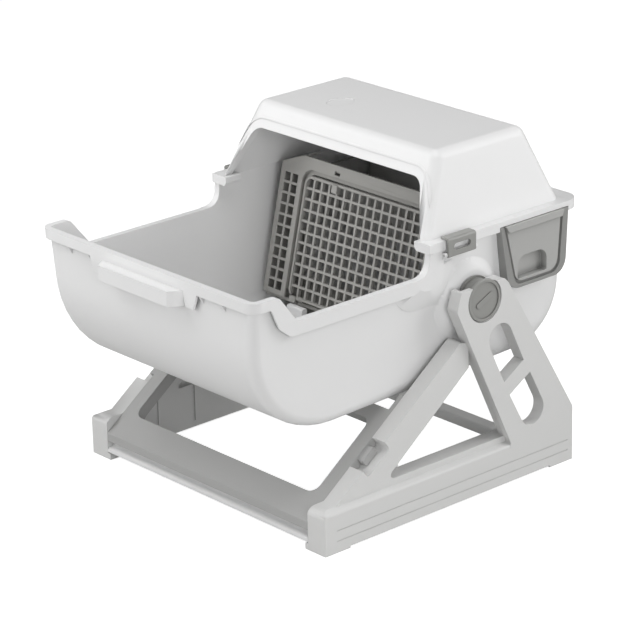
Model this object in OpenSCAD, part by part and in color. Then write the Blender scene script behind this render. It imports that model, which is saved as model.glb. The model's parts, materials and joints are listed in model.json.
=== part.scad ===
// Drawer litter box: a tub that tips back on trunnions, with a sieve and a waste drawer under its hood,
// held between the two A-shaped sides of a stand.
// Millimetres, +X to the right, +Y to the back, +Z up. The origin is on the floor, under the middle.

/* [Overall] */
// Width over the stand's two sides
overall_w = 510; // [425:1:620]
// Length from the handle's front edge to the hood's rear edge
overall_l = 634; // [528:1:770]
// Height of the hood's top
overall_h = 497; // [430:1:600]

/* [Tub] */
// Thickness of the tub's walls
tub_wall = 3; // [2:0.1:4]
// Gap from the tub's wall at the rim to the outside of the stand, on each side
tub_side_gap = 34; // [32:0.5:45]
// Depth of the tub below the pivot
tub_below = 127.9; // [100:0.1:150]
// Height of the rim above the pivot
rim_above = 89.5; // [75:0.1:110]
// Slope of the side walls from upright
tub_draft = 3.9; // [1:0.1:6]
// Radius where the front wall turns into the bottom
tub_front_r = 150; // [100:1:170]
// Radius where the rear wall turns into the bottom
tub_rear_r = 95; // [60:1:120]
// Radius of the edges between the side walls and the rest
tub_edge_r = 42; // [25:1:55]
// Radius of the tub's upright front corners and the edges below them
tub_corner_r = 17; // [12:0.5:40]
// Reach of the rim outside the walls
rim_over = 7; // [5:0.5:10]
// Drop of the skirt under the front rim
rim_skirt = 15; // [10:1:20]
// Drop of the skirt under the low side rims
side_skirt = 21; // [14:1:28]
// Height of the low side rims below the front rim
entry_drop = 42; // [20:1:60]
// Length of the level horns beside the front rim
horn_l = 46; // [30:1:80]
// Length of the slope from a horn to the low side rim
horn_slope = 33; // [20:1:60]
// Reach of the carrying handle in front of the tub
handle_d = 25; // [18:1:40]
// Half width of the handle at its front edge
handle_half = 74; // [50:1:100]
// Height of the handle
handle_h = 22; // [15:1:30]

/* [Hood] */
// Thickness of the hood's walls
hood_wall = 3; // [2:0.1:4]
// Reach of the hood's flange behind the tub
flange_over = 7; // [5:0.5:12]
// Height of the flange's skirt
flange_h = 14; // [10:1:20]
// Height of the hood above its flange
hood_rise = 111.5; // [80:0.5:150]
// Slope of the hood's front from upright
hood_front_slope = 25.2; // [10:0.1:35]
// Slope of the hood's sides from upright
hood_side_slope = 14; // [5:0.1:20]
// Slope of the hood's back from upright
hood_rear_slope = 22; // [5:0.1:30]
// Radius of the hood's edges
hood_edge_r = 18; // [10:1:25]
// Height of the hood's entry above the flange
entry_h = 75.5; // [50:0.5:90]
// Depth of the lip round the entry
entry_lip = 15; // [5:1:25]
// Length of the plain oval recess on the hood's top
recess_l = 45; // [20:1:60]
// Width of the plain oval recess on the hood's top
recess_w = 36; // [15:1:45]

/* [Sieve] */
// Half width of the sieve box
sieve_half = 195; // [150:1:200]
// Lean of the sieve's front from upright
sieve_lean = 13.4; // [5:0.1:20]
// Height of the sieve's foot above the tub's floor
sieve_foot = 33; // [20:1:50]
// Height of the sieve's front, along its lean
sieve_h = 197; // [150:1:210]
// Distance from the sieve's foot to the pivot, towards the front
sieve_ahead = 19.2; // [0:0.1:60]
// Distance between neighbouring bars of the grid
grid_pitch = 16.3; // [12:0.1:24]
// Thickness of the grid's bars
grid_bar = 3.8; // [2:0.1:5]
// Columns of the hinged panel's grid
panel_cols = 17; // [8:1:18]
// Rows of the hinged panel's grid
panel_rows = 11; // [6:1:12]
// Width of the panel's rim
panel_rim = 4.5; // [3:0.5:10]
// Thickness of the panel
panel_t = 7; // [4:0.5:9]

/* [Drawer] */
// Length of the drawer
drawer_l = 398; // [300:1:400]
// Width of the drawer at its top
drawer_w = 108; // [80:1:130]
// Height of the drawer
drawer_h = 82; // [60:1:86]
// Distance from the pivot back to the drawer's front top edge
drawer_behind = 67.4; // [60:0.1:90]
// Thickness of the drawer's walls
drawer_wall = 2.5; // [1.5:0.1:4]

/* [Stand] */
// Distance from the pivot forward to the feet's front
base_ahead = 304.5; // [260:0.5:340]
// Length of the stand's base rails
base_l = 481; // [400:1:560]
// Thickness of the base rails, inwards
rail_t = 41; // [35:0.5:50]
// Height of the base rails
rail_h = 64; // [45:1:75]
// Height at which the struts leave the feet's front
strut_foot_h = 42; // [30:1:60]
// Thickness of the legs, inwards
leg_t = 20; // [14:0.5:22]
// Step from the leg's outside in to the strut's outside
strut_step = 9.5; // [5:0.5:12]
// Width of the struts' front face
strut_t = 26; // [18:0.5:30]
// Thickness of the front frame
frame_t = 18; // [12:1:24]
// Width of the front frame's side bars
frame_bar = 23.5; // [15:0.5:35]

/* [Pivot] */
// Radius of the trunnions' bearing drums
drum_r = 20; // [12:0.5:22]
// Radius outside the bushes
bush_r = 28; // [24:0.5:29]
// Radius of the knobs
knob_r = 30.9; // [26:0.1:34]
// Angle of the open slot over each saddle, from the front
slot_angle = 67; // [50:1:90]

/* [Latches] */
// Length of a latch
latch_l = 53; // [35:1:65]
// Thickness of a latch's walls
latch_t = 3.6; // [2.5:0.1:4]
// Radius of the latches' hinge pins
latch_pin_r = 2; // [1.5:0.1:2.5]

/* [Fits] */
// Gap between pieces that rest or slide on each other
fit = 0.3; // [0.2:0.05:0.5]
// Radial gap of a pin or drum that turns in its bore
running_fit = 0.1; // [0.05:0.01:0.1]

/* [Hidden] */

// Heights
pivot_z = overall_h - hood_rise - rim_above - 4.5;
rim_z = pivot_z + rim_above;
floor_z = pivot_z - tub_below;
flange_top = overall_h - hood_rise;
flange_low = flange_top - flange_h;
low_rim_z = rim_z - entry_drop;

// Widths, measured from the middle
stand_half = overall_w / 2;
tub_half = stand_half - tub_side_gap;
rim_half = tub_half + rim_over;
flange_half = tub_half + 9;
strut_out = stand_half - strut_step;
strut_in = strut_out - strut_t;
rail_in = stand_half - rail_t;
leg_in = stand_half - leg_t;

// Lengths
tub_l = overall_l - handle_d - flange_over;
tub_front = handle_d - overall_l / 2;
tub_rear = tub_front + tub_l;
top_corner_r = tub_corner_r / 2;
pivot_y = tub_rear - 211;
flange_rear = overall_l / 2;
hood_front = pivot_y - 78;
hood_post = 26;
base_front = pivot_y - base_ahead;
base_rear = base_front + base_l;

// The drawer
drawer_top = rim_z - 9.5;
drawer_y0 = pivot_y + drawer_behind;
drawer_y1 = drawer_y0 + drawer_w;
drawer_low = drawer_top - drawer_h;
drawer_face_x = flange_half;
drawer_end_x = drawer_face_x - drawer_l;
drawer_ledge = 4;

arc_step = 9;
big = 900;

// ---------------------------------------------------------------- outlines and directions

function unit(v) = v / norm(v);
function normal(v) = [v.y, -v.x] / norm(v);

// The points of an arc of radius r that rounds corner b between a and c
function corner_arc(a, b, c, r) =
    r == 0 ? [b] :
    let (u = unit(a - b), v = unit(c - b), half = acos(u * v) / 2,
         m = b + unit(u + v) * r / sin(half),
         p = b + u * r / tan(half) - m, q = b + v * r / tan(half) - m,
         from = atan2(p.y, p.x), turn = (atan2(q.y, q.x) - from + 540) % 360 - 180,
         n = max(2, ceil(abs(turn) / arc_step)))
    [for (i = [0:n]) m + r * [cos(from + turn * i / n), sin(from + turn * i / n)]];

// An outline with each corner rounded by its own radius
function rounded(points, radii) =
    let (n = len(points))
    [for (i = [0:n - 1])
        each corner_arc(points[(i + n - 1) % n], points[i], points[(i + 1) % n], is_list(radii) ? radii[i] : radii)];

// A counter-clockwise outline with every side moved outwards by d
function grown(points, d) =
    let (n = len(points))
    [for (i = [0:n - 1])
        let (a = normal(points[i] - points[(i + n - 1) % n]), b = normal(points[(i + 1) % n] - points[i]))
        points[i] + d * (a + b) / (1 + a * b)];

// A flat shape drawn in Y and Z, drawn out from x0 to x1
module along_x(x0, x1) translate([x0, 0, 0]) rotate([90, 0, 90]) linear_extrude(x1 - x0) children();

// A flat shape drawn in X and Z, drawn out from y0 to y1
module along_y(y0, y1) translate([0, y1, 0]) rotate([90, 0, 0]) linear_extrude(y1 - y0) children();

// A flat shape drawn in X and Y, drawn out from z0 to z1
module along_z(z0, z1) translate([0, 0, z0]) linear_extrude(z1 - z0) children();

// A round bar from x0 to x1 on the pivot's axis
module on_pivot(x0, x1, r) translate([x0, pivot_y, pivot_z]) rotate([0, 90, 0]) cylinder(h = x1 - x0, r = r, $fn = 96);

module box(lo, hi) translate(lo) cube(hi - lo);

module both_sides() {
    children();
    mirror([1, 0, 0]) children();
}

// ---------------------------------------------------------------- tub

function tub_half_at(z) = tub_half + (z - rim_z + 10) * tan(tub_draft);

// One curved end of the tub's side, as a disc of radius r with an edge of radius edge_r
module end_disc(y, z, r, edge_r, g) {
    x = tub_half_at(z) - edge_r / cos(tub_draft);
    translate([x, y, z])
        rotate([0, 90 + tub_draft, 0])
            rotate_extrude($fn = 48)
                translate([r - edge_r, 0])
                    circle(r = edge_r - g, $fn = 32);
}

// The tub's whole form, drawn in by g, and running on above the rim
module tub_form(g) {
    top = rim_z + 30;
    hull()
        both_sides() {
            end_disc(tub_front + tub_front_r, floor_z + tub_front_r, tub_front_r, tub_corner_r, g);
            end_disc(tub_rear - tub_rear_r, floor_z + tub_rear_r, tub_rear_r, tub_edge_r, g);
            for (c = [[tub_front + top_corner_r, top_corner_r], [tub_rear - tub_edge_r, tub_edge_r]])
                translate([tub_half_at(top) - c[1], c[0], top])
                    cylinder(h = 1, r = c[1] - g, $fn = 48);
        }
}

horn_y = tub_front - rim_over + horn_l;
entry_y = horn_y + horn_slope;
rear_rim_y = hood_front + hood_post;
seat_z = flange_low - fit;

// The rim's top line in Y and Z, lowered by d, closed down to the height z
function under_rim(d, z) = rounded(
    [[-big, z], [big, z], [big, rim_z - d], [rear_rim_y, rim_z - d], [rear_rim_y, seat_z - d],
     [hood_front, seat_z - d], [hood_front - 4, low_rim_z - d], [entry_y, low_rim_z - d],
     [horn_y, rim_z - d], [-big, rim_z - d]],
    [0, 0, 0, 0, 0, 0, 22, 12 + d, 12 - min(d, 9), 0]);

// The rim's skirt in Y and Z: the strip between the top line and the skirt's lower edge
skirt_line = [
    [horn_y - 13, rim_z - rim_skirt], [horn_y + 2, low_rim_z - 4],
    [entry_y - 10, low_rim_z - side_skirt], [rear_rim_y - 3, low_rim_z - side_skirt],
];

module skirt_region() {
    polygon(rounded(
        [each skirt_line, [rear_rim_y - 3, big], [-big, big], [-big, rim_z - rim_skirt]],
        [6, 20, 16, 0, 0, 0, 0]));
}

// The rim turned out over the front and sides, with its skirt, hollow underneath
module front_rim() {
    difference() {
        intersection() {
            tub_form(-rim_over);
            along_x(-big, big) intersection() { skirt_region(); polygon(under_rim(0, 0)); }
        }
        intersection() {
            tub_form(tub_wall - rim_over);
            along_x(-big, big) polygon(under_rim(tub_wall, 0));
        }
    }
}

// The flat rim that the hood sits on
module rear_rim() {
    along_z(rim_z - tub_wall, rim_z)
        polygon(rounded(
            [[-flange_half + 3.5, rear_rim_y], [flange_half - 3.5, rear_rim_y],
             [flange_half - 3.5, flange_rear - 3.5], [-flange_half + 3.5, flange_rear - 3.5]],
            [0, 0, 21.5, 21.5]));
}

// A disc of radius r on the side wall, at [y, z], drawn out to x
module wall_disc(y, z, x, r) {
    translate([tub_half - 25, y, z]) rotate([0, 90, 0]) cylinder(h = x - tub_half + 25, r = r, $fn = 32);
}

// The swelling beside the entry that carries the hood's corner and fades into the wall
module shoulder() {
    mid = rear_rim_y - 24;
    low = low_rim_z - side_skirt;
    intersection() {
        hull() {
            for (y = [mid - 7, mid + 2]) wall_disc(y, low + 24, rim_half, 22);
            box([tub_half - 25, mid - 29, low + 24], [rim_half, rear_rim_y - 0.1, rim_z]);
            for (y = [mid - 20, mid + 12]) wall_disc(y, low + 18, tub_half_at(low + 20) - 1.5, 44);
        }
        along_x(0, big)
            difference() {
                polygon(under_rim(0, 0));
                // room for the latch behind it
                translate([rear_rim_y - 0.7, latch_pin_z - 14]) square(big);
            }
    }
}

// The boss on the side wall that the trunnion is fixed in, turned with a smooth foot
boss_out = leg_in - 6;
boss_r = [36, 70];
spigot_in = tub_half_at(pivot_z) + 1;
module pivot_boss() {
    x0 = tub_half_at(pivot_z) - 6;
    h = boss_out - x0;
    translate([x0, pivot_y, pivot_z])
        rotate([0, 90, 0])
            rotate_extrude($fn = 72)
                polygon([[0, 0], [boss_r[1] + 6, 0],
                         each [for (t = [0:0.125:1]) [boss_r[1] + (boss_r[0] - boss_r[1]) * t, 3 + (h - 3) * (1 - cos(180 * t)) / 2]],
                         [0, h]]);
}

// The hollow handle under the front rim
module handle() {
    top = rim_z - rim_skirt;
    root = tub_front - 5;
    outline = [[-handle_half - 13, root], [-handle_half, tub_front - handle_d], [handle_half, tub_front - handle_d],
               [handle_half + 13, root], [handle_half + 13, tub_front + 1], [-handle_half - 13, tub_front + 1]];
    difference() {
        along_z(top - handle_h, top) polygon(rounded(outline, [0, 3, 3, 0, 0, 0]));
        along_z(top - big, top - tub_wall) polygon(grown(outline, -tub_wall));
    }
}

// The pointed tongue under the front rim, beside the handle
module rim_tongue() {
    top = rim_z - rim_skirt;
    along_y(tub_front - rim_over, tub_front - rim_over + tub_wall)
        polygon(rounded([[107, top - 22.4], [115.6, top + 1], [84, top + 1], [90, top - 22.4]], [3, 0, 0, 3]));
}

// A thin gusset under the front rim
module rim_gusset(x) {
    top = rim_z - rim_skirt;
    along_x(x - 1.5, x + 1.5)
        polygon([[tub_front + 1, top - 13], [tub_front + 1, top + 1], [tub_front - rim_over + 1, top + 1],
                 [tub_front - rim_over + 1, top - 2]]);
}

// The lug on the tub's floor that the sieve's foot stands behind
module floor_lug() {
    y = sieve_foot_y - 20;
    along_x(lug_x[0], lug_x[1])
        polygon(rounded([[y, floor_z + 1], [y + 12, floor_z + 1], [y + 12, lug_top], [y + 3, lug_top]], [0, 0, 2, 3]));
}

// The ears beside a latch that its hinge pin runs through
latch_y0 = rear_rim_y;
latch_y1 = latch_y0 + latch_l;
latch_pin_x = tub_half + 10.5;
latch_pin_z = flange_low - 6.5;
ear_t = 4;
lug_x = [88, 122];
lug_top = floor_z + 33;
module latch_ear(y) {
    outline = [[tub_half - 8, latch_pin_z - 9], [latch_pin_x + 1, latch_pin_z - 4.5], [latch_pin_x + 4.5, latch_pin_z],
               [latch_pin_x + 2, latch_pin_z + 3.5], [tub_half - 8, latch_pin_z + 4.5]];
    difference() {
        along_y(y, y + ear_t) polygon(rounded(outline, [0, 1.5, 3, 1.5, 0]));
        translate([latch_pin_x, y - 1, latch_pin_z]) rotate([-90, 0, 0]) cylinder(h = ear_t + 2, r = latch_pin_r, $fn = 32);
    }
}

module tub() {
    color("whitesmoke")
        difference() {
            union() {
                intersection() {
                    tub_form(0);
                    along_x(-big, big) polygon(under_rim(0, 0));
                }
                front_rim();
                rear_rim();
                handle();
                both_sides() {
                    shoulder();
                    pivot_boss();
                    rim_tongue();
                    for (x = [120, 165]) rim_gusset(x);
                    for (y = [latch_y0 - ear_t, latch_y1]) latch_ear(y);
                }
            }
            difference() {
                tub_form(tub_wall);
                both_sides() floor_lug();
            }
            along_x(0, big) polygon(rounded(grown(bezel_outline, fit), bezel_radii));
            both_sides() on_pivot(spigot_in, big, spigot_r);
        }
}

// ---------------------------------------------------------------- hood

// The hood's whole form, drawn in by g, and running on below the flange
module hood_form(g) {
    r = hood_edge_r;
    low = flange_top - 60;
    high = overall_h - r;
    hull()
        both_sides()
            for (z = [low, high]) {
                x = tub_half - 6 - (z - flange_top) * tan(hood_side_slope) - r / cos(hood_side_slope);
                front = hood_front + (z - flange_top) * tan(hood_front_slope) + r / cos(hood_front_slope);
                rear = tub_rear - 19 - (z - flange_top) * tan(hood_rear_slope) - r / cos(hood_rear_slope);
                for (y = [front, rear]) translate([x, y, z]) sphere(r = r - g, $fn = 32);
            }
}

// The entry in X and Z, enlarged by d
module entry_outline(d) {
    bottom = tub_half - 15;
    top = flange_top + entry_h;
    polygon(rounded(
        grown([[-bottom, flange_low - 30], [bottom, flange_low - 30], [bottom, flange_top], [bottom - 34, top],
               [-bottom + 34, top], [-bottom, flange_top]], d),
        [0, 0, 0, 22 + d, 22 + d, 0]));
}

// The slab between the hood's front face and a plane d behind it
module front_slab(d) {
    z0 = flange_low - 40;
    z1 = overall_h + 10;
    function face(z) = hood_front + (z - flange_top) * tan(hood_front_slope);
    along_x(-big, big) polygon([[face(z0) - 1, z0], [face(z0) + d, z0], [face(z1) + d, z1], [face(z1) - 1, z1]]);
}

module flange() {
    in = flange_half - hood_wall;
    outer = [[-flange_half, hood_front - 3], [flange_half, hood_front - 3], [flange_half, flange_rear], [-flange_half, flange_rear]];
    inner = [[-in, hood_front - 10], [in, hood_front - 10], [in, flange_rear - hood_wall], [-in, flange_rear - hood_wall]];
    difference() {
        along_z(flange_low, flange_top) polygon(rounded(outer, [8, 8, 25, 25]));
        along_z(flange_low - 1, rim_z + fit) polygon(rounded(inner, [0, 0, 22, 22]));
        // the skirt is shorter over the drawer's frame
        box([in - 1, drawer_y0 - 13, flange_low - 1], [flange_half + 1, drawer_y1 + 15.5, flange_low + 6.5]);
    }
}

// The block at each front corner that sits on the tub's shoulder
module corner_block() {
    x0 = tub_half - 22;
    along_y(hood_front - 3, rear_rim_y - fit)
        polygon(rounded([[x0 + 4, flange_low], [flange_half, flange_low], [flange_half, flange_top], [x0, flange_top],
                         [x0, flange_low + 5]], [2, 2, 2, 2, 2]));
}

module hood() {
    color("white")
        difference() {
            union() {
                difference() {
                    union() {
                        intersection() {
                            hood_form(0);
                            box([-big, -big, flange_top - 1], [big, big, big]);
                        }
                        flange();
                    }
                    hood_form(hood_wall);
                    along_y(-big, hood_front + 70) entry_outline(0);
                }
                intersection() {
                    hood_form(0.5);
                    front_slab(entry_lip);
                    along_y(-big, big) difference() { entry_outline(hood_wall); entry_outline(0); }
                    box([-big, -big, flange_top - 2], [big, big, big]);
                }
                both_sides() corner_block();
                // the raised bead round the entry
                intersection() {
                    hood_form(-1.5);
                    front_slab(5);
                    along_y(-big, big) difference() { entry_outline(16); entry_outline(13); }
                    box([-big, -big, flange_top - 2], [big, big, big]);
                }
            }
            // a plain shallow oval recess
            translate([-85, pivot_y + 45, overall_h - 0.8])
                linear_extrude(5)
                    polygon([for (a = [0:arc_step:359]) [recess_w / 2 * cos(a), recess_l / 2 * sin(a)]]);
        }
}

// ---------------------------------------------------------------- latches

// A C-shaped clip over the hood's flange, hinged under it
module right_latch_form() {
    out = flange_half + 7.3;
    top = flange_top + 0.5;
    low = latch_pin_z - 2;
    barrel = latch_pin_r + 2;
    inner = [[latch_pin_x, low + 1], [out - latch_t, low + 1], [out - latch_t, top], [flange_half - 9, top]];
    difference() {
        union() {
            along_y(latch_y0 + fit, latch_y1 - fit)
                polygon(rounded(
                    [each inner, [flange_half - 9, top + latch_t], [out, top + latch_t], [out, low - 1.5], [latch_pin_x, low - 1.5]],
                    [0, 1, 1.5, 0, 1.5, 4, 3, 0]));
            translate([latch_pin_x, latch_y0 + fit, latch_pin_z])
                rotate([-90, 0, 0])
                    cylinder(h = latch_l - 2 * fit, r = barrel, $fn = 48);
        }
        translate([latch_pin_x, latch_y0 - 1, latch_pin_z])
            rotate([-90, 0, 0])
                cylinder(h = latch_l + 2, r = latch_pin_r + running_fit, $fn = 32);
        // the finger slot
        mid = (latch_y0 + latch_y1) / 2;
        along_x(latch_pin_x - 4, big)
            polygon(rounded(
                [[mid - 16, flange_low - 1], [mid + 16, flange_low - 1], [mid + 16, flange_low + 9], [mid - 16, flange_low + 9]],
                4.9));
    }
}

module right_pin_form() {
    translate([latch_pin_x, latch_y0 - ear_t, latch_pin_z])
        rotate([-90, 0, 0])
            cylinder(h = latch_l + 2 * ear_t, r = latch_pin_r, $fn = 32);
}

module left_latch() color("gray") mirror([1, 0, 0]) right_latch_form();
module right_latch() color("gray") right_latch_form();
module left_latch_pin() color("silver") mirror([1, 0, 0]) right_pin_form();
module right_latch_pin() color("silver") right_pin_form();

// ---------------------------------------------------------------- sieve

panel_w = panel_cols * grid_pitch - grid_bar + 2 * panel_rim;
panel_h = panel_rows * grid_pitch - grid_bar + 2 * panel_rim;
sieve_foot_y = pivot_y - sieve_ahead;
sieve_foot_z = floor_z + sieve_foot;
sieve_floor_z = sieve_foot_z - 4;
panel_low = 3;
channel = 7;
sieve_wall = 2.5;
mouth_rise = 17;
mouth_cut = 45;
side_cols = 2;
hinge_r = 2.5;
sieve_top_y = sieve_foot_y + (sieve_h + mouth_rise) * sin(sieve_lean);
sieve_top_z = sieve_foot_z + (sieve_h + mouth_rise) * cos(sieve_lean);
sieve_back = drawer_y0 - drawer_ledge - 1;
sieve_shoulder = on_sieve_at(sieve_h - 0.6, sieve_wall / 2);

// The place in Y and Z of a point s up the sieve's lean and d behind its front
function on_sieve_at(s, d) = [
    sieve_foot_y + s * sin(sieve_lean) + d * cos(sieve_lean),
    sieve_foot_z + s * cos(sieve_lean) - d * sin(sieve_lean),
];

// From the sieve's own plane (X across, Y up its lean, Z out of its front) to its place in the tub
module on_sieve() {
    translate([0, sieve_foot_y, sieve_foot_z])
        rotate([90 - sieve_lean, 0, 0])
            children();
}

// A grid of square cells, cols by rows, its lower left cell at [x, y]
module cells(x, y, cols, rows) {
    for (i = [0:cols - 1], j = [0:rows - 1])
        translate([x + i * grid_pitch, y + j * grid_pitch])
            square(grid_pitch - grid_bar);
}

module rounded_box(w, y0, y1, r) {
    polygon(rounded([[-w / 2, y0], [w / 2, y0], [w / 2, y1], [-w / 2, y1]], r));
}

// A round bar across the sieve from x0 to x1, at the height y and depth z of the sieve's plane
module cross_bar(x0, x1, y, z, r) translate([x0, y, z]) rotate([0, 90, 0]) cylinder(h = x1 - x0, r = r, $fn = 32);

panel_axis = -panel_t / 2;
hinge_x = panel_w / 2 - 18;
knuckle_l = 14;

module sieve_panel() {
    color("darkgray")
        on_sieve()
            difference() {
                union() {
                    translate([0, 0, -panel_t])
                        linear_extrude(panel_t - 1.5)
                            difference() {
                                rounded_box(panel_w, panel_low, panel_low + panel_h, 15);
                                cells(-panel_w / 2 + panel_rim, panel_low + panel_rim, panel_cols, panel_rows);
                            }
                    // the raised rim
                    translate([0, 0, -2])
                        linear_extrude(2)
                            difference() {
                                rounded_box(panel_w, panel_low, panel_low + panel_h, 15);
                                rounded_box(panel_w - 2 * panel_rim + 2, panel_low + panel_rim - 1,
                                            panel_low + panel_h - panel_rim + 1, 11);
                            }
                    // the catch's finger tab
                    translate([panel_w * -0.27, panel_low + panel_h - 14, -2])
                        linear_extrude(4)
                            rounded_box(11, 0, 12, 2);
                    both_sides() cross_bar(hinge_x - knuckle_l, hinge_x, panel_low + 1, panel_axis, panel_t / 2);
                }
                both_sides() cross_bar(hinge_x - knuckle_l - 1, hinge_x + 1, panel_low + 1, panel_axis, hinge_r + running_fit);
                both_sides()
                    translate([hinge_x, panel_low - 10, -panel_t - 1])
                        cube([knuckle_l, 16, panel_t + 2]);
            }
}

// The front wall round the panel, with two columns of cells beside it
module sieve_front() {
    strip = sieve_half - panel_w / 2 - channel;
    margin = (strip - side_cols * grid_pitch + grid_bar) / 2;
    top = panel_low + panel_h + 2;
    translate([0, 0, -sieve_wall])
        linear_extrude(sieve_wall)
            difference() {
                polygon([[-sieve_half, 0], [sieve_half, 0], [sieve_half, sieve_h], [sieve_half - mouth_cut, sieve_h + mouth_rise],
                         [-sieve_half + mouth_cut, sieve_h + mouth_rise], [-sieve_half, sieve_h]]);
                rounded_box(panel_w + 2 * channel, -30, top + channel, 20);
                for (x = [-sieve_half + margin, sieve_half - strip + margin])
                    cells(x, panel_low + panel_rim, side_cols, panel_rows);
                // the catch's slot
                translate([panel_w * -0.27, top + channel + 3]) rounded_box(12, 0, 6, 1.5);
            }
    // the channel's inner wall, set back round the panel
    translate([0, 0, -panel_t])
        linear_extrude(panel_t - sieve_wall + 0.5)
            difference() {
                rounded_box(panel_w + 2 * channel + 4, 0, top + channel + 2, 22);
                rounded_box(panel_w + 2 * channel, -30, top + channel, 20);
            }
    translate([0, 0, -panel_t - 2])
        linear_extrude(2.5)
            difference() {
                rounded_box(panel_w + 2 * channel + 4, 0, top + channel + 2, 22);
                rounded_box(panel_w + 1, -30, top, 16);
            }
}

module sieve_box() {
    color("darkgray")
        union() {
            on_sieve() {
                sieve_front();
                // the hinge's pins and their posts
                both_sides() {
                    cross_bar(hinge_x - 3, hinge_x + knuckle_l, panel_low + 1, panel_axis, hinge_r);
                    translate([hinge_x + 1, panel_low - 6, -panel_t])
                        cube([knuckle_l - 1, 9.4, panel_t]);
                }
                // the mouth's rolled front edge
                translate([0, 0, -6])
                    linear_extrude(6)
                        polygon([[-sieve_half + mouth_cut - 4, sieve_h + mouth_rise - 4], [sieve_half - mouth_cut + 4, sieve_h + mouth_rise - 4],
                                 [sieve_half - mouth_cut, sieve_h + mouth_rise], [-sieve_half + mouth_cut, sieve_h + mouth_rise]]);
            }
            both_sides() {
                // side wall
                along_x(sieve_half - sieve_wall, sieve_half)
                    polygon([on_sieve_at(5, sieve_wall / 2), [sieve_foot_y + 8, sieve_floor_z], [sieve_back, sieve_floor_z],
                             [sieve_back, sieve_shoulder.y], sieve_shoulder]);
                // sloping shoulder of the mouth
                along_y(sieve_shoulder.x + 2, sieve_back)
                    polygon([[sieve_half - 0.2, sieve_shoulder.y - 0.2], [sieve_half - mouth_cut, sieve_top_z - 1],
                             [sieve_half - mouth_cut - 1, sieve_top_z - sieve_wall - 1],
                             [sieve_half - 4, sieve_shoulder.y - sieve_wall - 0.5]]);
                // foot that stands on the tub's floor
                along_x(sieve_half - 70, sieve_half - 66)
                    polygon([[sieve_foot_y + 7, sieve_floor_z + 1], [sieve_back, sieve_floor_z + 1],
                             [sieve_back, floor_z + tub_wall + fit], [sieve_foot_y + 14, floor_z + tub_wall + fit]]);
            }
            // floor and foot rail, clear of the panel's knuckles
            box([-sieve_half, sieve_foot_y + 6, sieve_floor_z], [sieve_half, sieve_back, sieve_floor_z + sieve_wall]);
            on_sieve() translate([1 - sieve_half, -5, -panel_t - 2]) cube([2 * sieve_half - 2, 4.5, 3.2]);
        }
}

// The slatted slide from the sieve's mouth down to the drawer
module clump_ramp() {
    half = sieve_half - mouth_cut - 4;
    high = [sieve_top_y + 4, sieve_top_z - 13];
    low = [drawer_y0 + 3, drawer_top + 5];
    run = norm(low - high);
    slats = 17;
    gap = (2 * half - 12) / slats;
    color("darkgray") {
        translate([0, high.x, high.y])
            rotate([atan2(low.y - high.y, low.x - high.x), 0, 0])
                linear_extrude(2.4)
                    difference() {
                        polygon([[-half, -4.15], [half, -4.15], [half, run], [-half, run]]);
                        for (i = [0:slats - 1])
                            translate([-half + 6 + i * gap + grid_bar / 2, 5])
                                square([gap - grid_bar, run - 10]);
                    }
    }
}

// ---------------------------------------------------------------- drawer

// The drawer's section in Y and Z, and the outline of the frame round its face
drawer_outline = [
    [drawer_y0 + 20, drawer_low], [drawer_y1 - 7, drawer_low], [drawer_y1, drawer_top], [drawer_y0, drawer_top],
];
drawer_radii = [16, 18, 0, 0];
bezel_outline = [
    [drawer_y0 + 4, drawer_low - 9], [drawer_y1 + 9, drawer_low - 9], [drawer_y1 + 15, drawer_top + 5.7],
    [drawer_y0 - 12.5, drawer_top + 5.7],
];
bezel_radii = [24, 24, 0, 0];
pocket_d = 14;
front_t = 4;

// The point over b that runs on from a, higher by h
function run_on(a, b, h) = b + (b - a) * h / (b.y - a.y);

// The drawer's section moved outwards by d, its sides running on over its top
module drawer_section(d, over) {
    o = drawer_outline;
    polygon(rounded(grown([o[0], o[1], run_on(o[1], o[2], over), run_on(o[0], o[3], over)], d), drawer_radii));
}

// The arched finger recess in the drawer's face, enlarged by d
module pocket_section(d) {
    y0 = drawer_y0 + 22;
    y1 = drawer_y1 - 28;
    z0 = drawer_low + 4;
    polygon(rounded(grown([[y0, z0], [y1, z0], [y1, z0 + 33], [y0, z0 + 33]], d), [3, 3, 16, 16]));
}

module drawer() {
    color("darkgray")
        difference() {
            union() {
                difference() {
                    along_x(drawer_end_x, drawer_face_x) drawer_section(0, 0);
                    along_x(drawer_end_x + drawer_wall, drawer_face_x - front_t)
                        drawer_section(-drawer_wall, 30);
                }
                // the recess's own walls
                along_x(drawer_face_x - pocket_d, drawer_face_x - 1)
                    intersection() {
                        pocket_section(2);
                        drawer_section(-0.5, 0);
                    }
                // the visor along the top of the face
                along_x(drawer_face_x - 1, drawer_face_x + 4)
                    polygon(rounded(
                        [[drawer_y0 + 2, drawer_top - 4.5], [drawer_y1 + 0.5, drawer_top - 4.5],
                         [drawer_y1 + drawer_ledge, drawer_top + 5.7], [drawer_y0 - drawer_ledge, drawer_top + 5.7]],
                        [5, 3, 1, 1]));
                // rails that hang the drawer on its frame
                for (y = [drawer_y0 - drawer_ledge, drawer_y1 - 1.5])
                    box([drawer_end_x, y, drawer_top - 2], [drawer_face_x - 14, y + drawer_ledge + 1.5, drawer_top]);
            }
            along_x(drawer_face_x - pocket_d + 2, drawer_face_x + 10) pocket_section(0);
        }
}

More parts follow.
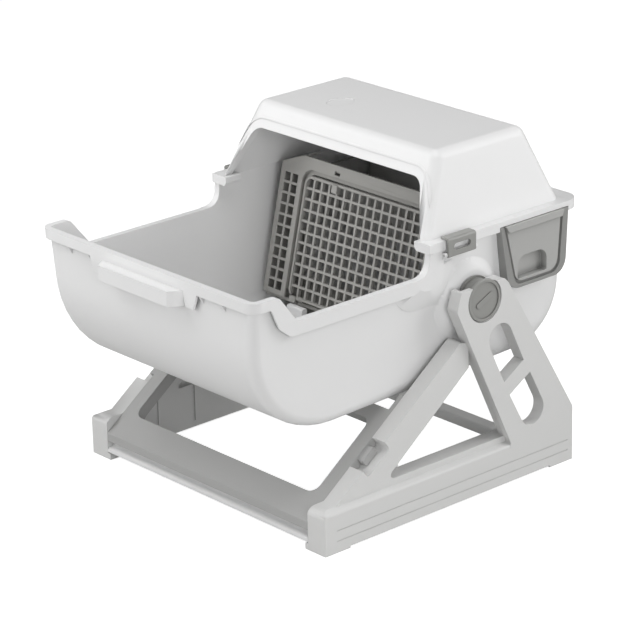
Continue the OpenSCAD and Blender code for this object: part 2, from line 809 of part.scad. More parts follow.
// The frame round the drawer's face, and the trough that the drawer slides in
module drawer_frame() {
    trough_x = tub_half_at(drawer_low) - 12;
    wall = 2;
    color("gray")
        difference() {
            union() {
                along_x(trough_x, drawer_face_x + 1)
                    polygon(rounded(bezel_outline, bezel_radii));
                along_x(drawer_end_x - 2, trough_x + 1)
                    drawer_section(wall + fit, 0);
            }
            along_x(drawer_end_x - 0.5, drawer_face_x + 20) drawer_section(fit, 30);
            // the frame's outer edge is dished round the face
            along_x(drawer_face_x - 3, drawer_face_x + 2) drawer_section(4, 30);
            // the ways that the drawer's rails run in
            box([drawer_end_x - 0.5, drawer_y0 - drawer_ledge - fit, drawer_top - 2 - fit],
                [drawer_face_x + 20, drawer_y1 + drawer_ledge + fit, drawer_top + 20]);
            // drain slots through the trough's floor
            for (i = [0:5])
                box([drawer_end_x + 40 + i * 55, drawer_y0 + 45, drawer_low - 20],
                    [drawer_end_x + 70 + i * 55, drawer_y0 + 53, drawer_low + 5]);
        }
}

// ---------------------------------------------------------------- pivot

spigot_r = 12;
saddle_floor = stand_half - 8;
knob_gap = 1.4;

// A turned drum on the tub's boss, with a spigot fixed in it
module right_trunnion_form() {
    on_pivot(spigot_in, boss_out + 1, spigot_r);
    on_pivot(boss_out, saddle_floor + 0.4, drum_r);
}

// The bush with a flange against the leg's inner face
module right_bush_form() {
    difference() {
        union() {
            on_pivot(leg_in - 1, saddle_floor - 0.2, bush_r);
            on_pivot(leg_in - 2.5, leg_in - fit, bush_r + 3);
        }
        on_pivot(leg_in - 5, big, drum_r + running_fit);
    }
}

// The knob that holds the drum in its bush
module right_knob_form() {
    out = stand_half;
    bar = 34;
    dish = 1.7;
    difference() {
        union() {
            on_pivot(saddle_floor + 0.6, out - 3, knob_r - 2);
            on_pivot(out - 4.2, out - 1.2, knob_r);
            translate([out - 1.21, pivot_y, pivot_z])
                rotate([0, 90, 0])
                    cylinder(h = 1.21, r1 = knob_r, r2 = knob_r - 1.2, $fn = 96);
        }
        on_pivot(out - dish, out + 1, knob_r - 4.5);
    }
    // a plain raised grip bar
    translate([out - dish - 0.3, pivot_y, pivot_z])
        rotate([25, 0, 0])
            along_x(0, dish)
                polygon(rounded([[-bar / 2, -4], [bar / 2, -4], [bar / 2, 4], [-bar / 2, 4]], 3.9));
}

module left_trunnion() color("dimgray") mirror([1, 0, 0]) right_trunnion_form();
module right_trunnion() color("dimgray") right_trunnion_form();
module left_bush() color("dimgray") mirror([1, 0, 0]) right_bush_form();
module right_bush() color("dimgray") right_bush_form();
module left_knob() color("gray") mirror([1, 0, 0]) right_knob_form();
module right_knob() color("gray") right_knob_form();

// ---------------------------------------------------------------- stand

// The line of the struts' front faces, in Y and Z
strut_start = [base_front, strut_foot_h];
strut_end = [pivot_y - 38, pivot_z - 55];
strut_dir = unit(strut_end - strut_start);
strut_normal = [strut_dir.y, -strut_dir.x];
strut_slope = atan2(strut_dir.y, strut_dir.x);

// A point s along the strut's face and d below it
function on_strut(s, d) = strut_start + s * strut_dir + d * strut_normal;
function from_pivot(y, z) = [pivot_y + y, pivot_z + z];

leg_front = [from_pivot(-54, -4), [pivot_y + 51, rail_h - 2]];
leg_rear = [from_pivot(46.4, 14.6), [base_rear, rail_h + 20]];
foot_gap = 3;
foot_l = 46;
pad_r = 11;
pad_up = 0.6;
foot_h = 3.4;
lip_z = rail_h + 8.5;
groove_z = [17, 32.5];
lug_s = [113, 139];
pocket_s = [98.6, 150];
lug_pocket_d = 15;
lug_out = strut_in + 11.5;
wall = 3;

// A window with one round end and one slanted end
module window(centre, r, end) {
    along = unit((end[0] + end[1]) / 2 - centre);
    n = [along.y, -along.x];
    translate(centre) circle(r = r, $fn = 64);
    polygon([centre + r * n, end[0], end[1], centre - r * n]);
}

// A round seat on the pivot's axis with a slot nearly as wide, open to the top
module saddle(x0, x1, r) {
    half = r - 0.7;
    on_pivot(x0, x1, r);
    translate([x0, pivot_y, pivot_z])
        rotate([90 - slot_angle, 0, 0])
            translate([0, -half, 0])
                cube([x1 - x0, 2 * half, 90]);
}

module leg() {
    difference() {
        along_x(leg_in, stand_half)
            difference() {
                polygon(rounded(
                    [leg_front[0], from_pivot(-45, 22), from_pivot(38, 23.4), leg_rear[0], leg_rear[1],
                     [base_rear, 20], [pivot_y + 41, 20], leg_front[1]],
                    [8, 2, 8, 4, 6, 0, 0, 0]));
                window(from_pivot(30.5, -64.5), 22.5, [from_pivot(37.2, -132.1), from_pivot(76.3, -109.1)]);
                window(from_pivot(93.5, -189.5), 23, [from_pivot(89, -130.7), from_pivot(48.4, -154.4)]);
            }
        saddle(leg_in - 1, saddle_floor + 0.01, bush_r + 0.05);
        saddle(saddle_floor, stand_half + 1, knob_r + knob_gap);
    }
}

// The strut with the raised lip along the rail, and a deeper web on the inner side
module strut() {
    top = from_pivot(-24, -60);
    corner = [base_front + 119.5, lip_z];
    rear = pivot_y + 60;
    along_x(strut_in, strut_out)
        polygon(rounded(
            [[base_front, foot_gap + 10], strut_start, strut_end, top, from_pivot(-22.7, -95.8), corner,
             [rear, lip_z], [rear, rail_h - 9], [base_front + 60, rail_h - 9], [base_front + 60, foot_gap + 10]],
            [0, 4, 6, 0, 0, 6, 0, 0, 0, 0]));
    // upright ribs on the inner face, which stop below the front frame's back
    for (rib = [[95, 4], [165, 15]]) {
        top = strut_start.y + (rib[0] * strut_dir.y - frame_t) / strut_dir.x - rib[1];
        box([strut_in - 2, base_front + rib[0], 14], [strut_in + 1, base_front + rib[0] + 3, top]);
    }
    along_x(strut_in, strut_in + 4)
        polygon([[base_front + 20, 40], on_strut(300, 8), from_pivot(-22, -118), corner + [17, 6], corner + [17, -30],
                 [base_front + 20, 20]]);
}

// The base rail, a shell open underneath, with ribs across it
module rail() {
    ribs = 9;
    step = (base_l - 2 * wall) / ribs;
    difference() {
        union() {
            along_y(base_front, base_rear)
                polygon(rounded(
                    [[rail_in, pad_up], [stand_half, pad_up], [stand_half, rail_h - 5], [strut_out - 1, rail_h],
                     [strut_in, rail_h], [strut_in, 10], [rail_in, 10]],
                    [0, 0, 5, 0, 0, 0, 1]));
        }
        for (i = [0:ribs - 1])
            box([strut_in + wall, base_front + wall + i * step + 1.2, pad_up - 1],
                [stand_half - wall, base_front + wall + (i + 1) * step - 1.2, rail_h - 12]);
        // raised between the feet, and the foot plinth stops short there
        box([rail_in - 1, base_front + foot_l, -1], [stand_half + 1, base_rear - foot_l, foot_gap + pad_up]);
        box([rail_in - 1, base_front + foot_l, -1], [strut_in, base_rear - foot_l, 12]);
        // the rounded foot corner over the strut's start
        along_x(rail_in - 1, stand_half + 1)
            polygon([[base_front - 1, rail_h + 1], [base_front - 1, rail_h - 10.5], [base_front + 0.01, rail_h - 10.5],
                     each [for (a = [0:15:90]) [base_front + 15 - 15 * cos(a), rail_h - 10.5 + 10.5 * sin(a)]],
                     [base_front + 15, rail_h + 1]]);
    }
}

foot_y = [base_front + foot_l / 2, base_rear - foot_l / 2];
foot_x = (rail_in + stand_half) / 2;

module right_side_form() {
    difference() {
        union() {
            rail();
            strut();
            leg();
            for (y = foot_y)
                translate([foot_x, y, pad_up]) cylinder(h = 8, r = pad_r + 3, $fn = 48);
        }
        // the pocket that the front frame's lug rests in
        along_x(strut_in - 1, stand_half)
            polygon(rounded(
                [on_strut(pocket_s[0], -20), on_strut(pocket_s[0], lug_pocket_d), on_strut(pocket_s[1], lug_pocket_d),
                 on_strut(pocket_s[1], -20)], [0, 6, 6, 0]));
        // two long grooves in the rail
        for (z = groove_z)
            box([stand_half - 1, base_front + 22, z], [stand_half + 1, base_rear - 10, z + 1.6]);
        for (y = foot_y)
            translate([foot_x, y, -1]) cylinder(h = 1 + foot_h + fit, r = pad_r + 0.2, $fn = 48);
    }
}

module foot(side, y) {
    color("dimgray")
        translate([side * foot_x, y, 0])
            difference() {
                cylinder(h = foot_h, r = pad_r, $fn = 48);
                translate([0, 0, -1]) cylinder(h = 2.2, r = pad_r - 3, $fn = 48);
            }
}

module left_side_frame() color("whitesmoke") mirror([1, 0, 0]) right_side_form();
module right_side_frame() color("whitesmoke") right_side_form();
module front_left_foot() foot(-1, foot_y[0]);
module front_right_foot() foot(1, foot_y[0]);
module rear_left_foot() foot(-1, foot_y[1]);
module rear_right_foot() foot(1, foot_y[1]);

// From the front frame's own plane (X across, Y up its slope, Z out of its face) to its place
module on_frame() {
    translate([0, strut_start.x, strut_start.y])
        rotate([strut_slope, 0, 0])
            children();
}

frame_half = strut_in - fit;
frame_window = [42, 174];
frame_top = 226;

module frame_window_outline(d) {
    half = frame_half - frame_bar;
    polygon(rounded(grown([[-half, frame_window[0]], [half, frame_window[0]], [half, frame_window[1]], [-half, frame_window[1]]], d), 15 + d));
}

// The sloping grey frame between the struts, a shell open at the back, with a cradle for the tub
module front_frame() {
    cradle_half = tub_half_at(floor_z + 60) + 1;
    middle_top = 198;
    color("silver")
        difference() {
            union() {
                difference() {
                    along_x(-frame_half, frame_half)
                        polygon([[base_front, 30], strut_start, on_strut(frame_top, 0), on_strut(frame_top, frame_t),
                                 on_strut(14, frame_t), [base_front + 8, 30]]);
                    on_frame()
                        translate([0, 0, -60])
                            linear_extrude(60 - wall)
                                difference() {
                                    half = frame_half - wall;
                                    polygon([[-half, 12], [half, 12], [half, frame_top - wall], [-half, frame_top - wall]]);
                                    frame_window_outline(wall);
                                    for (i = [-4:4]) translate([i * 48 - 1.2, 0]) square([2.4, frame_window[0] + 2]);
                                    for (i = [-4:4]) translate([i * 48 - 1.2, frame_window[1]]) square([2.4, 90]);
                                    for (x = [-frame_half, frame_half - frame_bar], y = [75, 108, 141])
                                        translate([x, y]) square([frame_bar, 2.4]);
                                    polygon([[-cradle_half - 12, middle_top - 10], [cradle_half + 12, middle_top - 10],
                                             [cradle_half + 12, middle_top + 30], [-cradle_half - 12, middle_top + 30]]);
                                }
                }
                // the lugs that rest in the struts' pockets
                both_sides()
                    along_x(frame_half - 4, lug_out)
                        polygon(rounded(
                            [on_strut(lug_s[0], 2.4), on_strut(lug_s[0], lug_pocket_d - 1), on_strut(lug_s[1], lug_pocket_d - 1),
                             on_strut(lug_s[1], 2.4)], [2, 1, 1, 2]));
            }
            on_frame() translate([0, 0, -60]) linear_extrude(100) frame_window_outline(0);
            // cradle under the tub, and room for the tub to turn over its middle
            along_y(-big, big)
                polygon(rounded(
                    [[-tub_half_at(floor_z) - fit, floor_z - fit], [tub_half_at(floor_z) + fit, floor_z - fit],
                     [tub_half + 30, big], [-tub_half - 30, big]], [tub_corner_r, tub_corner_r, 0, 0]));
            on_frame()
                translate([-cradle_half, middle_top, -100])
                    cube([2 * cradle_half, 100, 200]);
        }
}

// The white crossbar under the front frame, with a cove along its front, open underneath
module front_crossbar() {
    top = 30 - fit;
    cove = 11;
    color("whitesmoke")
        difference() {
            along_x(-frame_half, frame_half)
                polygon([[base_front, 12], [base_front + 34, 12], [base_front + 34, top], [base_front + cove + 4, top],
                         each [for (a = [0:15:90]) [base_front + 3 + cove * cos(a), top - cove * sin(a)]],
                         [base_front, 16.5]]);
            for (i = [-4:4])
                box([i * 48 - 21, base_front + cove + 7, 5], [i * 48 + 21, base_front + 31, top - 3]);
        }
}

// The grey crossbar at the back, a channel open underneath
module rear_crossbar() {
    half = strut_in - fit;
    y0 = base_rear - 54;
    color("gray")
        difference() {
            along_x(-half, half)
                polygon(rounded([[y0, 15], [y0 + 23, 15], [y0 + 23, 30], [y0, 30]], [0, 0, 3, 3]));
            for (i = [-4:4])
                box([i * 48 - 21, y0 + 2.5, 5], [i * 48 + 21, y0 + 20.5, 27]);
        }
}

tub();
hood();
left_latch();
right_latch();
left_latch_pin();
right_latch_pin();
sieve_box();
sieve_panel();
clump_ramp();
drawer();
drawer_frame();
left_knob();
right_knob();
left_trunnion();
right_trunnion();
left_bush();
right_bush();
left_side_frame();
right_side_frame();
front_frame();
front_crossbar();
rear_crossbar();
front_left_foot();
front_right_foot();
rear_left_foot();
rear_right_foot();
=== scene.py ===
"""Drawer litter box: finishes and moulded edges of a roll-over sifting litter box, and a plain pale stage."""

import json
import math

import bmesh
import bpy
from bpy.props import FloatProperty, PointerProperty, StringProperty
from bpy.types import Operator, Panel, PropertyGroup
from mathutils import Matrix, Vector


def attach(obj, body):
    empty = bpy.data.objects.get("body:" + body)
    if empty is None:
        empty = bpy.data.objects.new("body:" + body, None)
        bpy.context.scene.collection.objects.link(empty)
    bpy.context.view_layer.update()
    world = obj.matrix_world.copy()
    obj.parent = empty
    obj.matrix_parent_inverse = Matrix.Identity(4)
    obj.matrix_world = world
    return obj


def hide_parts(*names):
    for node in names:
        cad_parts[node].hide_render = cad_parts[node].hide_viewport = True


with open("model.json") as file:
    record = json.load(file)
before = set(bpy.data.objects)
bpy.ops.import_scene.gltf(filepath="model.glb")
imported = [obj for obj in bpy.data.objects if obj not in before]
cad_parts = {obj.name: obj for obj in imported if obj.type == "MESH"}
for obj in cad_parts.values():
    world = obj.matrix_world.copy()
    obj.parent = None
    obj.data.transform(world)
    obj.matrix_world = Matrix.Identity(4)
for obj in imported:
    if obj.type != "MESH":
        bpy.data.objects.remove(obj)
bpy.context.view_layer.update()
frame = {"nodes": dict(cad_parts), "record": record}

bl_info = {
    "name": "Drawer litter box",
    "version": (1, 0, 0),
    "blender": (4, 5, 0),
    "location": "3D View > Sidebar > Litter box",
    "description": "Moulded pieces, finishes and a stage for a roll-over litter box with a drawer",
    "category": "Object",
}

MM = 0.001
CLOUDINESS = 0.012
GLOSS_SPREAD = 0.05


# ------------------------------------------------------------------ colours and nodes


def linear(hex_colour):
    """The linear colour of an sRGB hex value such as e8e8e6."""
    parts = [int(hex_colour[i : i + 2], 16) / 255 for i in (0, 2, 4)]
    return [c / 12.92 if c <= 0.04045 else ((c + 0.055) / 1.055) ** 2.4 for c in parts]


def add_node(tree, kind, settings=(), **links):
    """Adds a node with its settings and links.

    A link is an input's name with spaces as underscores, or _ and its number, and a socket or a value.
    """
    node = tree.nodes.new(kind)
    for key, value in dict(settings).items():
        setattr(node, key, value)
    for key, value in links.items():
        place = int(key[1:]) if key[0] == "_" else key.replace("_", " ")
        socket = node.inputs[place]
        if isinstance(value, bpy.types.NodeSocket):
            tree.links.new(value, socket)
        else:
            socket.default_value = value
    return node


def moulded_plastic(name, hex_colour, roughness, grain, depth, ior=1.49, edge=0.9, shade=0.25, reach=12.0):
    """A moulded plastic: an even colour, a faint cloudiness, the fine spark-eroded grain of its mould, and
    painted shade in its narrow recesses.

    grain is the width of one grain in millimetres, depth its height and edge the radius of the piece's edges.
    shade is how much darker a narrow recess is painted as shade, and reach how far in millimetres its walls
    may stand.
    """
    material = bpy.data.materials.new(name)
    material.use_nodes = True
    tree = material.node_tree
    tree.nodes.clear()
    place = add_node(tree, "ShaderNodeTexCoord").outputs["Object"]
    # the melt cools unevenly, which clouds the colour over a hand's width
    cloud = add_node(tree, "ShaderNodeTexNoise", Vector=place, Scale=9.0, Detail=2.0).outputs["Fac"]
    base = linear(hex_colour)
    tint = add_node(
        tree, "ShaderNodeMapRange", Value=cloud, To_Min=1 - CLOUDINESS, To_Max=1 + CLOUDINESS
    ).outputs["Result"]
    # narrow recesses are drawn darker than the soft boxes alone leave them; this is shade, not dirt
    open_air = add_node(
        tree, "ShaderNodeAmbientOcclusion", {"samples": 6, "only_local": True}, Distance=reach * MM
    ).outputs["AO"]
    # painted shade: the colour is taken down where the ambient occlusion finds close walls
    painted_recess_shade = add_node(
        tree, "ShaderNodeMapRange", Value=open_air, From_Min=0.15, From_Max=0.9, To_Min=1 - shade
    ).outputs["Result"]
    tint = add_node(tree, "ShaderNodeMath", {"operation": "MULTIPLY"}, _0=tint, _1=painted_recess_shade).outputs["Value"]
    colour = add_node(
        tree, "ShaderNodeVectorMath", {"operation": "SCALE"}, _0=base, Scale=tint
    ).outputs["Vector"]
    # a real spark-eroded grain is a fraction of a millimetre wide, and it is drawn wider so that it shows
    spark = add_node(
        tree, "ShaderNodeTexNoise", Vector=place, Scale=1000 / grain, Detail=3.0, Roughness=0.6
    ).outputs["Fac"]
    gloss = add_node(
        tree, "ShaderNodeMapRange", Value=spark,
        To_Min=roughness - GLOSS_SPREAD, To_Max=roughness + GLOSS_SPREAD,
    ).outputs["Result"]
    # the corners of the mould are stoned to a small radius, which catches the light
    eased = add_node(tree, "ShaderNodeBevel", {"samples": 6}, Radius=edge * MM).outputs["Normal"]
    bump = add_node(
        tree, "ShaderNodeBump", Height=spark, Strength=0.35, Distance=depth * MM, Normal=eased
    ).outputs["Normal"]
    surface = add_node(
        tree, "ShaderNodeBsdfPrincipled", Base_Color=colour, Roughness=gloss, IOR=ior, Normal=bump
    ).outputs["BSDF"]
    add_node(tree, "ShaderNodeOutputMaterial", Surface=surface)
    return material


def drawn_steel(name, hex_colour, roughness):
    """A drawn steel pin: fine scratches along its length, which runs front to back."""
    material = bpy.data.materials.new(name)
    material.use_nodes = True
    tree = material.node_tree
    tree.nodes.clear()
    place = add_node(tree, "ShaderNodeTexCoord").outputs["Object"]
    along = add_node(tree, "ShaderNodeMapping", Vector=place, Scale=(1.0, 0.04, 1.0)).outputs["Vector"]
    scratch = add_node(tree, "ShaderNodeTexNoise", Vector=along, Scale=2500.0, Detail=2.0).outputs["Fac"]
    gloss = add_node(
        tree, "ShaderNodeMapRange", Value=scratch, To_Min=roughness - 0.08, To_Max=roughness + 0.08
    ).outputs["Result"]
    surface = add_node(
        tree, "ShaderNodeBsdfPrincipled", Base_Color=[*linear(hex_colour), 1], Metallic=1.0, Roughness=gloss
    ).outputs["BSDF"]
    add_node(tree, "ShaderNodeOutputMaterial", Surface=surface)
    return material


def finish(name):
    """The material of one of the box's finishes, made when it is first asked for."""
    if name in bpy.data.materials:
        return bpy.data.materials[name]
    return FINISHES[name](name, bpy.context.scene.litter_box)


FINISHES = {
    # satin polypropylene, white: bright and soft, with a broad dull highlight on its round edges
    "White moulded polypropylene": lambda n, s: moulded_plastic(n, s.white, 0.42, 3.0, 0.03),
    # the stand's white has a little more grey in it
    "Off-white moulded polypropylene": lambda n, s: moulded_plastic(n, s.stand_white, 0.45, 3.0, 0.03),
    # mid grey polypropylene of the sieve, a little duller than the rest, with strong painted shade drawn deep
    # into its cells
    "Sieve grey moulded polypropylene": lambda n, s: moulded_plastic(
        n, s.sieve_grey, 0.5, 3.0, 0.03, edge=0.4, shade=0.45, reach=30.0
    ),
    # the drawer and its frame have crisp edges and deep narrow gaps, and their own narrow recesses get strong
    # painted shade
    "Drawer grey moulded polypropylene": lambda n, s: moulded_plastic(
        n, s.drawer_grey, 0.45, 3.0, 0.03, edge=0.3, shade=0.75
    ),
    "Bezel grey moulded polypropylene": lambda n, s: moulded_plastic(
        n, s.bezel_grey, 0.42, 3.0, 0.03, edge=0.3, shade=0.75
    ),
    "Frame grey moulded polypropylene": lambda n, s: moulded_plastic(n, s.frame_grey, 0.48, 3.0, 0.03),
    # ABS of the clips and knobs: denser and a touch glossier than polypropylene, with strong painted shade in
    # their narrow recesses
    "Dark grey moulded ABS": lambda n, s: moulded_plastic(
        n, s.fitting_grey, 0.38, 2.0, 0.02, ior=1.54, edge=0.25, shade=0.7
    ),
    # acetal of the bearings: grey, smooth and slick
    "Grey moulded acetal": lambda n, s: moulded_plastic(n, "8a8a87", 0.3, 2.0, 0.01, ior=1.48),
    # rubber of the feet: black and dead matt
    "Black moulded rubber": lambda n, s: moulded_plastic(n, "1c1c1c", 0.8, 1.5, 0.05, ior=1.52),
    "Drawn steel": lambda n, s: drawn_steel(n, "c4c4c2", 0.32),
}


# ------------------------------------------------------------------ making pieces


def dress_nodes(material, *nodes):
    """Gives CAD nodes that keep their shape a finish."""
    for node in nodes:
        slots = frame["nodes"][node].material_slots
        if not slots:
            frame["nodes"][node].data.materials.append(material)
        for slot in slots:
            slot.material = material


def welded(node):
    """A bmesh of a node's shape with its loose triangles joined into whole faces."""
    shell = bmesh.new()
    shell.from_mesh(frame["nodes"][node].data)
    bmesh.ops.remove_doubles(shell, verts=shell.verts[:], dist=0.01 * MM)
    bmesh.ops.dissolve_degenerate(shell, edges=shell.edges[:], dist=0.01 * MM)
    bmesh.ops.dissolve_limit(
        shell, angle_limit=math.radians(0.5), verts=shell.verts[:], edges=shell.edges[:], delimit={"NORMAL"}
    )
    return shell


def as_piece(shell, name, node, material, smooth=32.0, edge=0.0):
    """Turns a bmesh into the piece that stands for a node, its edges eased by edge millimetres."""
    mesh = bpy.data.meshes.new(name)
    shell.to_mesh(mesh)
    shell.free()
    mesh.materials.clear()
    mesh.materials.append(material)
    mesh.shade_smooth()
    mesh.set_sharp_from_angle(angle=math.radians(smooth))
    piece = bpy.data.objects.new(name, mesh)
    bpy.context.scene.collection.objects.link(piece)
    if edge:
        # a mould leaves outside and inside corners with a small radius
        ease = piece.modifiers.new("Eased edges", "BEVEL")
        ease.limit_method = "ANGLE"
        ease.angle_limit = math.radians(38)
        ease.width = edge * MM
        ease.segments = 2
        ease.use_clamp_overlap = False
    # the big flat walls keep their own direction, and the narrow faces of the curves blend between them
    weigh = piece.modifiers.new("Weighted normals", "WEIGHTED_NORMAL")
    weigh.keep_sharp = True
    weigh.weight = 80
    body = next(b for b, nodes in frame["record"]["behaviour"]["bodies"].items() if node in nodes)
    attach(piece, body)
    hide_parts(node)
    return piece


def moulded(node, name, material, smooth=32.0, edge=0.0):
    return as_piece(welded(node), name, node, material, smooth, edge)


# ------------------------------------------------------------------ sizes and colours


def hex_setting(name, of_what, default):
    """A colour that a user may change, as an sRGB hex value."""
    return StringProperty(name=name, description=f"sRGB hex of {of_what}", default=default)


def power_setting(name, where, default):
    """The power of one soft box."""
    return FloatProperty(
        name=name, description=f"Power of the {where}", default=default, min=0.0, unit="POWER"
    )


class LitterBoxSettings(PropertyGroup):
    white: hex_setting("White", "the tub, hood and front crossbar", "ededed")
    stand_white: hex_setting("Off-white", "the stand's sides and rear crossbar", "dbdbda")
    sieve_grey: hex_setting("Sieve grey", "the sieve", "adaca8")
    drawer_grey: hex_setting("Drawer grey", "the drawer", "b2b2b0")
    bezel_grey: hex_setting("Bezel grey", "the frame round the drawer", "939391")
    frame_grey: hex_setting("Frame grey", "the front frame", "b1b1b0")
    fitting_grey: hex_setting("Fitting grey", "the clips and knobs", "989895")
    front_light: power_setting("Front light", "low soft box in front", 39.0)
    left_light: power_setting("Left light", "near soft box at the front left", 8.2)
    right_light: power_setting("Right light", "low soft box at the right", 31.0)
    rear_light: power_setting("Rear light", "soft box behind at the right", 40.0)
    top_light: power_setting("Top light", "soft box overhead", 26.0)
    sky: FloatProperty(name="Sky", description="Strength of the even white surround", default=0.03, min=0.0)
    floor_glow: FloatProperty(
        name="Floor glow", description="Brightness added to the floor as seen", default=0.9, min=0.0
    )


# ------------------------------------------------------------------ operators, one for each group of pieces


class MakeTub(Operator):
    """Moulds the tub"""

    bl_idname = "litter_box.tub"
    bl_label = "Tub"

    def execute(self, context):
        moulded("tub", "tub_moulding", finish("White moulded polypropylene"))
        return {"FINISHED"}


class MakeHood(Operator):
    """Moulds the hood"""

    bl_idname = "litter_box.hood"
    bl_label = "Hood"

    def execute(self, context):
        moulded("hood", "hood_moulding", finish("White moulded polypropylene"))
        return {"FINISHED"}


class MakeLatches(Operator):
    """Moulds the two side clips and finishes their pins"""

    bl_idname = "litter_box.latches"
    bl_label = "Side clips"

    def execute(self, context):
        for side in ("left", "right"):
            moulded(f"{side}_latch", f"{side}_clip_moulding", finish("Dark grey moulded ABS"), edge=0.4)
        dress_nodes(finish("Drawn steel"), "left_latch_pin", "right_latch_pin")
        return {"FINISHED"}


class MakeSieve(Operator):
    """Moulds the sieve box, its hinged grid and the slatted slide"""

    bl_idname = "litter_box.sieve"
    bl_label = "Sieve"

    def execute(self, context):
        grey = finish("Sieve grey moulded polypropylene")
        moulded("sieve_box", "sieve_box_moulding", grey)
        moulded("sieve_panel", "sieve_panel_moulding", grey)
        moulded("clump_ramp", "clump_ramp_moulding", grey)
        return {"FINISHED"}


class MakeDrawer(Operator):
    """Moulds the waste drawer and the frame it slides in"""

    bl_idname = "litter_box.drawer"
    bl_label = "Drawer"

    def execute(self, context):
        moulded("drawer", "drawer_moulding", finish("Drawer grey moulded polypropylene"), edge=0.5)
        moulded("drawer_frame", "drawer_frame_moulding", finish("Bezel grey moulded polypropylene"), edge=0.5)
        return {"FINISHED"}


class MakePivots(Operator):
    """Moulds the knobs and finishes the drums and bushes they hold"""

    bl_idname = "litter_box.pivots"
    bl_label = "Pivots"

    def execute(self, context):
        for side in ("left", "right"):
            moulded(f"{side}_knob", f"{side}_knob_moulding", finish("Dark grey moulded ABS"))
        dress_nodes(
            finish("Grey moulded acetal"), "left_trunnion", "right_trunnion", "left_bush", "right_bush"
        )
        return {"FINISHED"}


class MakeStand(Operator):
    """Moulds the stand's sides, front frame and crossbars, and finishes its feet"""

    bl_idname = "litter_box.stand"
    bl_label = "Stand"

    def execute(self, context):
        white = finish("Off-white moulded polypropylene")
        grey = finish("Frame grey moulded polypropylene")
        for side in ("left", "right"):
            moulded(f"{side}_side_frame", f"{side}_side_moulding", white)
        moulded("front_crossbar", "front_crossbar_moulding", finish("White moulded polypropylene"))
        moulded("front_frame", "front_frame_moulding", grey)
        moulded("rear_crossbar", "rear_crossbar_moulding", white)
        dress_nodes(
            finish("Black moulded rubber"),
            "front_left_foot", "front_right_foot", "rear_left_foot", "rear_right_foot",
        )
        return {"FINISHED"}


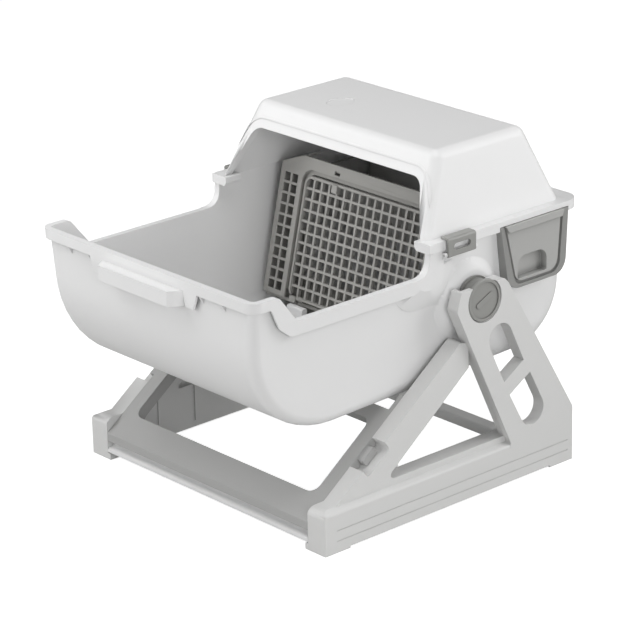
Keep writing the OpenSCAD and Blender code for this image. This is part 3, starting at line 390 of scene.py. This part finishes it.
class MakeStage(Operator):
    """Sets out the pale floor, the soft light and the camera"""

    bl_idname = "litter_box.stage"
    bl_label = "Stage"

    def execute(self, context):
        scene = context.scene
        settings = scene.litter_box
        scene.view_settings.view_transform = "Standard"

        # pale floor, lit up for the camera as studio paper burns out, but sending little light back up
        paper = bpy.data.materials.new("Matt white studio paper")
        paper.use_nodes = True
        tree = paper.node_tree
        tree.nodes.clear()
        seen = add_node(tree, "ShaderNodeLightPath").outputs["Is Camera Ray"]
        glow = add_node(
            tree, "ShaderNodeMapRange", Value=seen, To_Min=0.0, To_Max=settings.floor_glow
        ).outputs["Result"]
        surface = add_node(
            tree, "ShaderNodeBsdfPrincipled", Base_Color=[*linear("c8c8c7"), 1], Roughness=0.9,
            Emission_Color=(1, 1, 1, 1), Emission_Strength=glow,
        ).outputs["BSDF"]
        add_node(tree, "ShaderNodeOutputMaterial", Surface=surface)
        sheet = bmesh.new()
        bmesh.ops.create_grid(sheet, x_segments=1, y_segments=1, size=20.0)
        mesh = bpy.data.meshes.new("floor")
        sheet.to_mesh(mesh)
        sheet.free()
        mesh.materials.append(paper)
        floor = bpy.data.objects.new("floor", mesh)
        scene.collection.objects.link(floor)

        # even white surround, a little brighter behind the object than it lights it
        world = bpy.data.worlds.new("studio")
        scene.world = world
        world.use_nodes = True
        tree = world.node_tree
        tree.nodes.clear()
        seen = add_node(tree, "ShaderNodeLightPath").outputs["Is Camera Ray"]
        strength = add_node(
            tree, "ShaderNodeMapRange", Value=seen, To_Min=settings.sky, To_Max=1.0
        ).outputs["Result"]
        sky = add_node(
            tree, "ShaderNodeBackground", Color=(1, 1, 1, 1), Strength=strength
        ).outputs["Background"]
        add_node(tree, "ShaderNodeOutputWorld", Surface=sky)

        # soft boxes: each with its power, its direction from the object, its distance and its width in metres
        for name, power, toward, distance, width in (
            ("front", settings.front_light, (-0.35, -1, 0.15), 3.0, 2.2),
            ("left", settings.left_light, (-0.7, -0.7, 0.9), 1.5, 0.9),
            ("right", settings.right_light, (1, -0.4, 0.25), 3.0, 1.6),
            ("rear", settings.rear_light, (0.7, 0.9, 0.5), 3.0, 2.0),
            ("top", settings.top_light, (0.2, -0.1, 1), 2.5, 1.6),
        ):
            light = bpy.data.lights.new(name, "AREA")
            light.shape, light.size, light.energy = "SQUARE", width, power
            lamp = bpy.data.objects.new(name, light)
            scene.collection.objects.link(lamp)
            toward = Vector(toward).normalized()
            lamp.location = Vector((0, 0, 0.28)) + toward * distance
            lamp.rotation_euler = toward.to_track_quat("Z", "Y").to_euler()

        # camera
        lens = bpy.data.cameras.new("camera")
        lens.sensor_width, lens.lens = 36.0, 169.8
        lens.clip_end = 100.0
        camera = bpy.data.objects.new("camera", lens)
        scene.collection.objects.link(camera)
        az, el, roll = (math.radians(v) for v in (48.55, 20.68, -1.31))
        back = Vector((math.sin(az) * math.cos(el), -math.cos(az) * math.cos(el), math.sin(el)))
        right = Vector((math.cos(az), math.sin(az), 0))
        up = back.cross(right)
        turned_right = math.cos(roll) * right + math.sin(roll) * up
        turned_up = -math.sin(roll) * right + math.cos(roll) * up
        camera.matrix_world = Matrix.Translation((3.0312, -2.6577, 1.7426)) @ Matrix(
            (turned_right, turned_up, back)
        ).transposed().to_4x4()
        scene.camera = camera
        return {"FINISHED"}


class LitterBoxPanel(Panel):
    """Lists the pieces and their settings"""

    bl_idname = "VIEW3D_PT_litter_box"
    bl_label = "Litter box"
    bl_space_type = "VIEW_3D"
    bl_region_type = "UI"
    bl_category = "Litter box"

    def draw(self, context):
        settings = context.scene.litter_box
        for name in LitterBoxSettings.__annotations__:
            self.layout.prop(settings, name)
        for maker in MAKERS:
            self.layout.operator(maker.bl_idname)


MAKERS = (MakeTub, MakeHood, MakeLatches, MakeSieve, MakeDrawer, MakePivots, MakeStand, MakeStage)
CLASSES = (LitterBoxSettings, *MAKERS, LitterBoxPanel)


def register():
    for cls in CLASSES:
        bpy.utils.register_class(cls)
    bpy.types.Scene.litter_box = PointerProperty(type=LitterBoxSettings)


def unregister():
    del bpy.types.Scene.litter_box
    for cls in reversed(CLASSES):
        bpy.utils.unregister_class(cls)


def main():
    register()
    bpy.ops.litter_box.tub()
    bpy.ops.litter_box.hood()
    bpy.ops.litter_box.latches()
    bpy.ops.litter_box.sieve()
    bpy.ops.litter_box.drawer()
    bpy.ops.litter_box.pivots()
    bpy.ops.litter_box.stand()
    bpy.ops.litter_box.stage()


if __name__ == "__main__":
    main()
